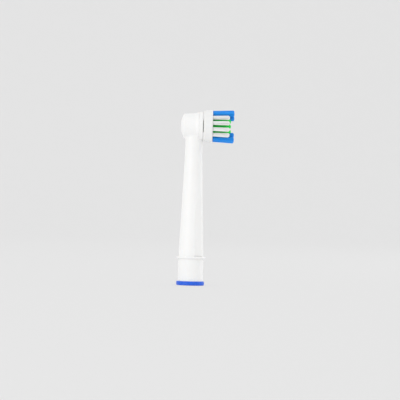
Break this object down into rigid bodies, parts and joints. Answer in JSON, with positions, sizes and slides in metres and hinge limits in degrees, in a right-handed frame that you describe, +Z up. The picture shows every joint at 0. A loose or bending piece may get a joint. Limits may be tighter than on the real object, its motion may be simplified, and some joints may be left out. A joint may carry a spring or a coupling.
{
  "type": "electric toothbrush head",
  "caption": "Push-on brush head: hollow tapered neck with a blue foot ring and a round tufted disc that swings to and fro, driven through the neck.",
  "frame": {"origin": "centre of the mouth of the handle bore, in the plane of the foot", "axes": "+Z up the neck along the drive axis, +X the way the bristles point"},
  "size_m": [0.025, 0.0152, 0.0809],
  "materials": {
    "white_housing": "semi-gloss moulded",
    "disc_plastic": "satin moulded",
    "blue_ring": "semi-gloss moulded",
    "acetal": "satin moulded",
    "steel": "drawn wire",
    "brass": "cut strip",
    "blue_bristle": "nylon filament",
    "green_bristle": "nylon filament",
    "white_bristle": "nylon filament"
  },
  "bodies": {
    "housing": {"neck_housing": "white_housing", "base_insert": "white_housing", "colour_ring": "blue_ring", "guide_bush": "acetal", "pivot_pin": "steel", "retaining_pin": "steel"},
    "drive": {"drive_socket": "acetal", "shaft_clip": "steel", "drive_rod": "steel"},
    "disc": {"bristle_disc": "disc_plastic", "tuft_anchors": "brass", "blue_tuft_03": "blue_bristle", "blue_tuft_04": "blue_bristle", "blue_tuft_05": "blue_bristle", "blue_tuft_10": "blue_bristle", "blue_tuft_11": "blue_bristle", "blue_tuft_12": "blue_bristle", "blue_tuft_17": "blue_bristle", "blue_tuft_18": "blue_bristle", "blue_tuft_22": "blue_bristle", "blue_tuft_23": "blue_bristle", "core_tuft_25": "white_bristle", "core_tuft_26": "white_bristle", "core_tuft_27": "white_bristle", "core_tuft_28": "white_bristle", "green_tuft_15": "green_bristle", "green_tuft_16": "green_bristle", "green_tuft_19": "green_bristle", "green_tuft_20": "green_bristle", "green_tuft_21": "green_bristle", "green_tuft_24": "green_bristle", "white_tuft_01": "white_bristle", "white_tuft_02": "white_bristle", "white_tuft_06": "white_bristle", "white_tuft_07": "white_bristle", "white_tuft_08": "white_bristle", "white_tuft_09": "white_bristle", "white_tuft_13": "white_bristle", "white_tuft_14": "white_bristle"}
  },
  "joints": [
    {"name": "drive_turn", "type": "hinge", "parent": "housing", "child": "drive", "pos_m": [0, 0, 0.0141], "axis": [0, 0, 1], "range_deg": [-24.5, 24.5]},
    {"name": "disc_turn", "type": "hinge", "parent": "housing", "child": "disc", "pos_m": [0, 0, 0.0733], "axis": [1, 0, 0], "range_deg": [-22.5, 22.5]}
  ],
  "couplings": [
    {"joint": "disc_turn", "follows": "drive_turn", "ratio": 0.918}
  ]
}
